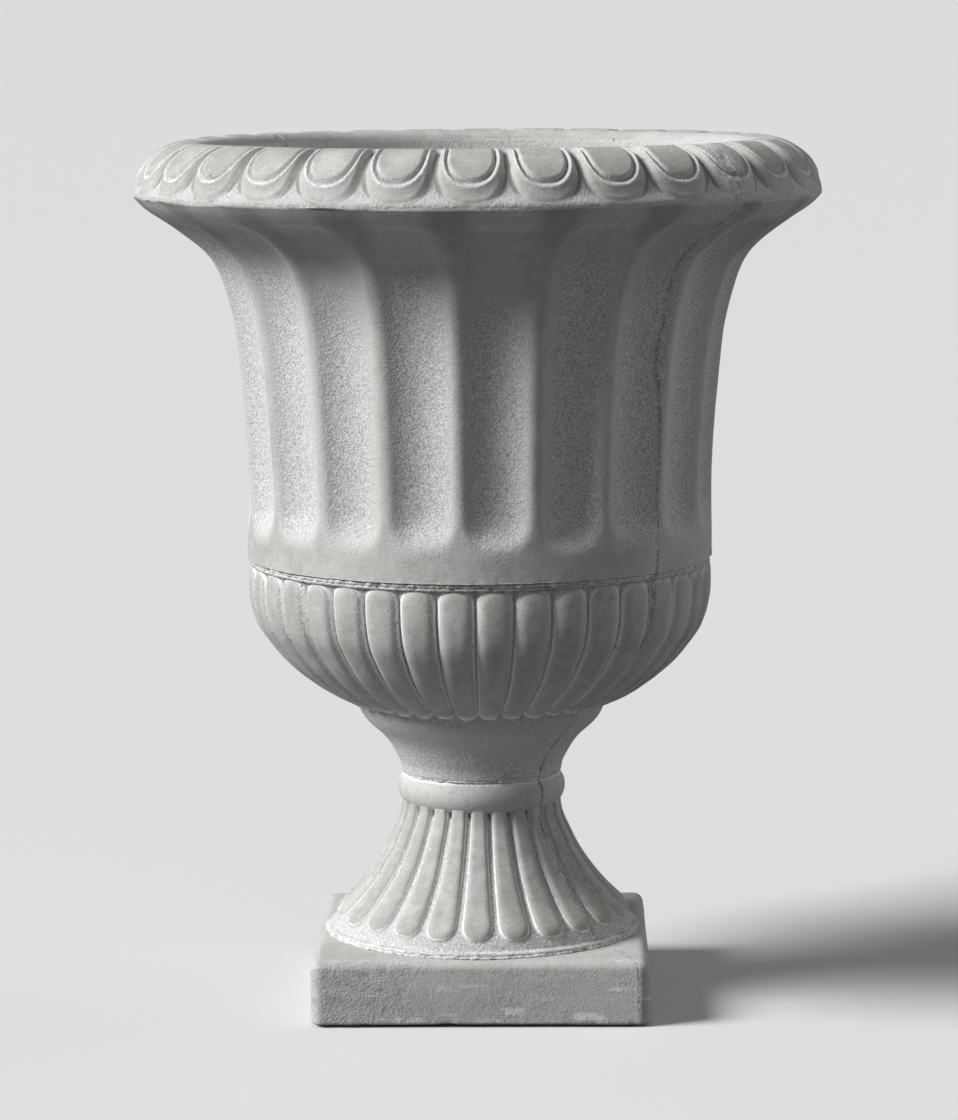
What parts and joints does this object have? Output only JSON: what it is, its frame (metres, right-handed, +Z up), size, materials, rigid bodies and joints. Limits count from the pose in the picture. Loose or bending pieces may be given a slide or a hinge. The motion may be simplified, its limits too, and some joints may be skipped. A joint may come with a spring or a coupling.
{
  "type": "urn planter",
  "caption": "Classical campana urn planter in cast stone: carved rolled rim, fluted body, gadrooned bowl, tongued foot and square plinth.",
  "frame": {"origin": "middle of the underside, on the ground", "axes": "+Z up along the urn's axis; -Y towards the viewer, square to a side of the plinth"},
  "size_m": [0.595, 0.5972, 0.751],
  "materials": {
    "cast_stone": "aged, sandy, lightly limed",
    "mortar": "crumbly lime pointing",
    "stainless": "mill finish stainless",
    "pad_rubber": "matte"
  },
  "bodies": {
    "root": {"fluted_body": "cast_stone", "gadrooned_bowl": "cast_stone", "fluted_foot": "cast_stone", "square_plinth": "cast_stone", "body_joint_mortar": "mortar", "neck_joint_mortar": "mortar", "plinth_joint_mortar": "mortar", "wall_dowels": "stainless", "tie_rod": "stainless", "upper_clamp_bar": "stainless", "upper_washer": "stainless", "upper_nut": "stainless", "lower_clamp_bar": "stainless", "lower_washer": "stainless", "lower_nut": "stainless", "base_pads": "pad_rubber"}
  },
  "joints": []
}
